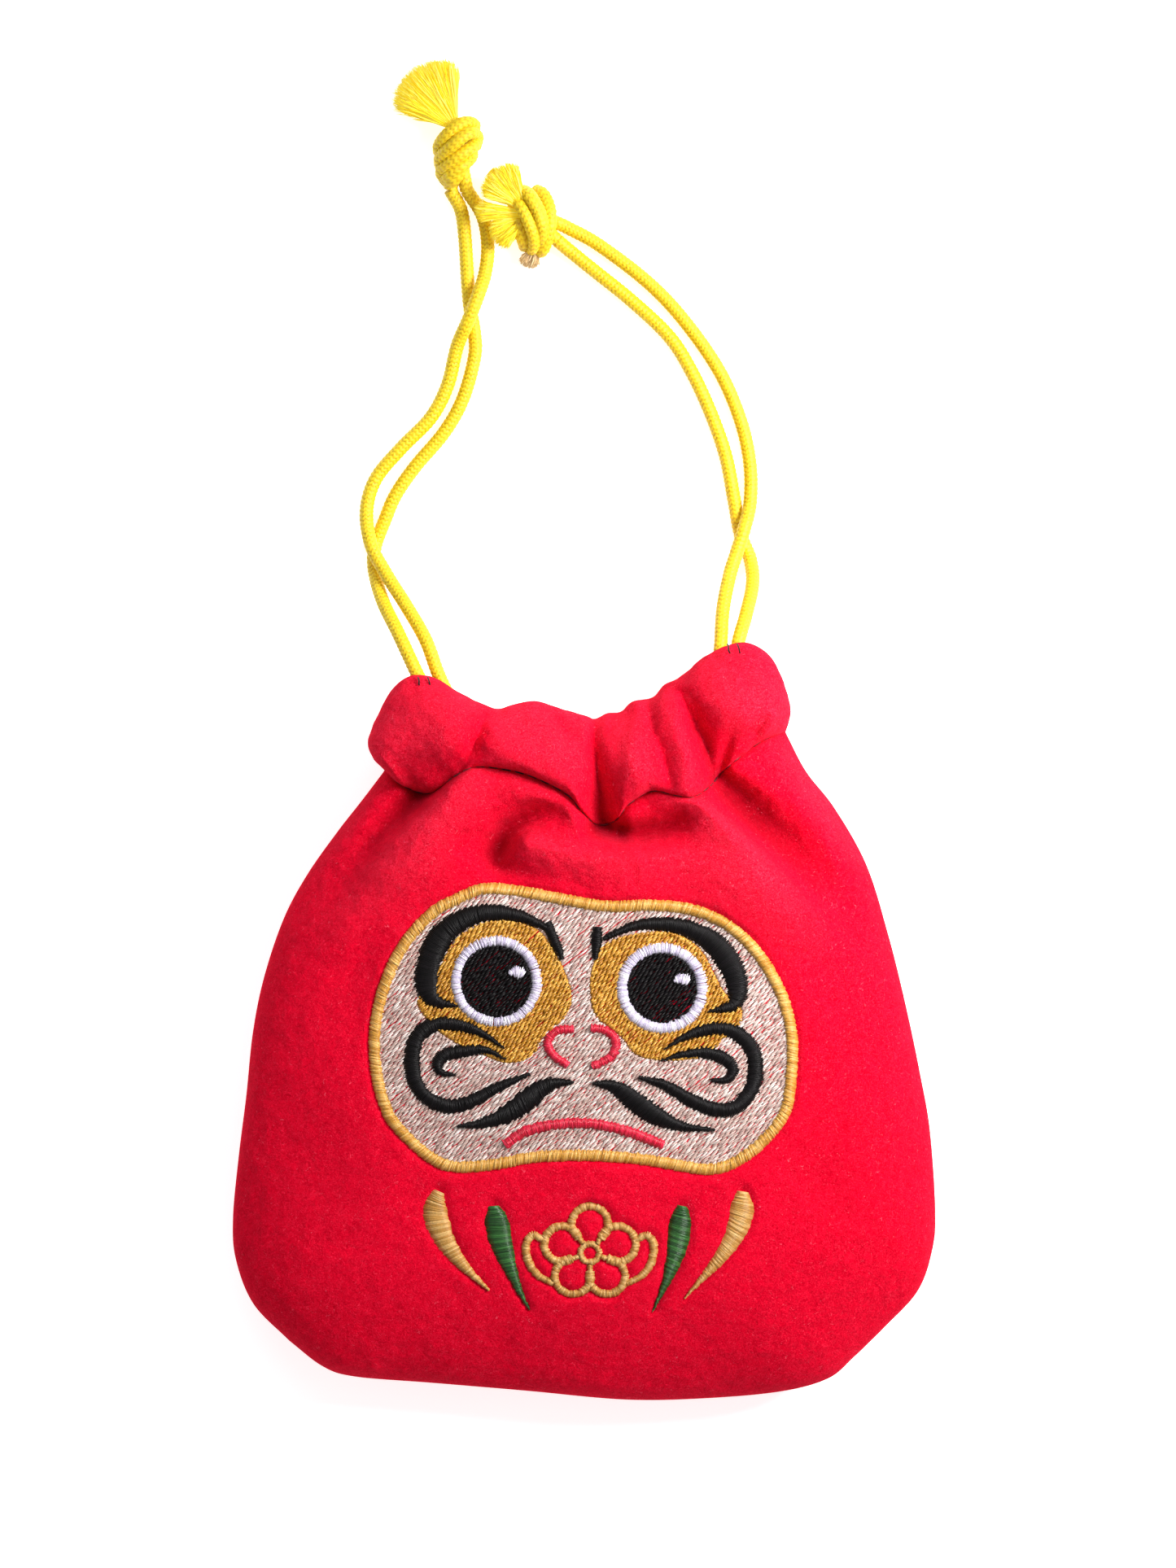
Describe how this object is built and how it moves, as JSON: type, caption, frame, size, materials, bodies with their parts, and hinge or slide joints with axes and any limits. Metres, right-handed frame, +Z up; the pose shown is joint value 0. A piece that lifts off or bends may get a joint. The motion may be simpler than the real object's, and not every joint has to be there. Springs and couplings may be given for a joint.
{
  "type": "drawstring pouch",
  "caption": "Plush fleece drawstring pouch lying on its back, with an embroidered daruma face, gathered casings and knotted, tasselled drawcords.",
  "frame": {"origin": "on the surface the pouch lies on, under the middle of the bag", "axes": "+Z up out of the embroidered face, +Y from the base towards the gathered mouth, +X to the right of someone looking at the face"},
  "size_m": [0.1438, 0.2773, 0.0338],
  "materials": {
    "red_fleece": "short plush fleece, matt with a soft sheen",
    "red_lining": "plain woven cotton",
    "white_stabiliser": "non-woven felt",
    "red_thread": "sewing thread",
    "yellow_cord": "braided polyester cord",
    "gold_thread": "satin stitch, glossy",
    "pale_gold_thread": "satin stitch, glossy",
    "face_thread": "fill stitch, glossy",
    "orange_thread": "fill stitch, glossy",
    "black_thread": "satin stitch, glossy",
    "lavender_thread": "satin stitch, glossy",
    "crimson_thread": "satin stitch, glossy",
    "green_thread": "satin stitch, glossy"
  },
  "bodies": {
    "bag": {"front_shell": "red_fleece", "back_shell": "red_fleece", "front_lining": "red_lining", "back_lining": "red_lining", "embroidery_backing": "white_stabiliser", "front_casing": "red_fleece", "back_casing": "red_fleece", "side_seam_thread": "red_thread", "front_casing_stitch": "red_thread", "back_casing_stitch": "red_thread", "left_bar_tack": "black_thread", "right_bar_tack": "black_thread", "face_border": "gold_thread", "face_ground": "face_thread", "left_eye_socket": "orange_thread", "left_brow": "black_thread", "left_eye_ring": "lavender_thread", "left_pupil": "black_thread", "left_eye_glint": "lavender_thread", "left_outer_swirl": "black_thread", "left_inner_swirl": "black_thread", "left_moustache": "black_thread", "left_nostril": "crimson_thread", "left_gold_leaf": "pale_gold_thread", "left_green_leaf": "green_thread", "left_cord_run": "yellow_cord", "right_eye_socket": "orange_thread", "right_brow": "black_thread", "right_eye_ring": "lavender_thread", "right_pupil": "black_thread", "right_eye_glint": "lavender_thread", "right_outer_swirl": "black_thread", "right_inner_swirl": "black_thread", "right_moustache": "black_thread", "right_nostril": "crimson_thread", "right_gold_leaf": "pale_gold_thread", "right_green_leaf": "green_thread", "right_cord_run": "yellow_cord", "mouth": "crimson_thread", "emblem": "pale_gold_thread"},
    "left_cord": {"left_strand_a": "yellow_cord", "left_strand_b": "yellow_cord", "left_knot": "yellow_cord", "left_tassel": "yellow_cord"},
    "right_cord": {"right_strand_a": "yellow_cord", "right_strand_b": "yellow_cord", "right_knot": "yellow_cord", "right_tassel": "yellow_cord"}
  },
  "joints": [
    {"name": "left_pull", "type": "slide", "parent": "bag", "child": "left_cord", "axis": [-0.454, 0.891, 0], "range_m": [0, 0.012]},
    {"name": "right_pull", "type": "slide", "parent": "bag", "child": "right_cord", "axis": [0.131, 0.9914, 0], "range_m": [0, 0.012]}
  ]
}
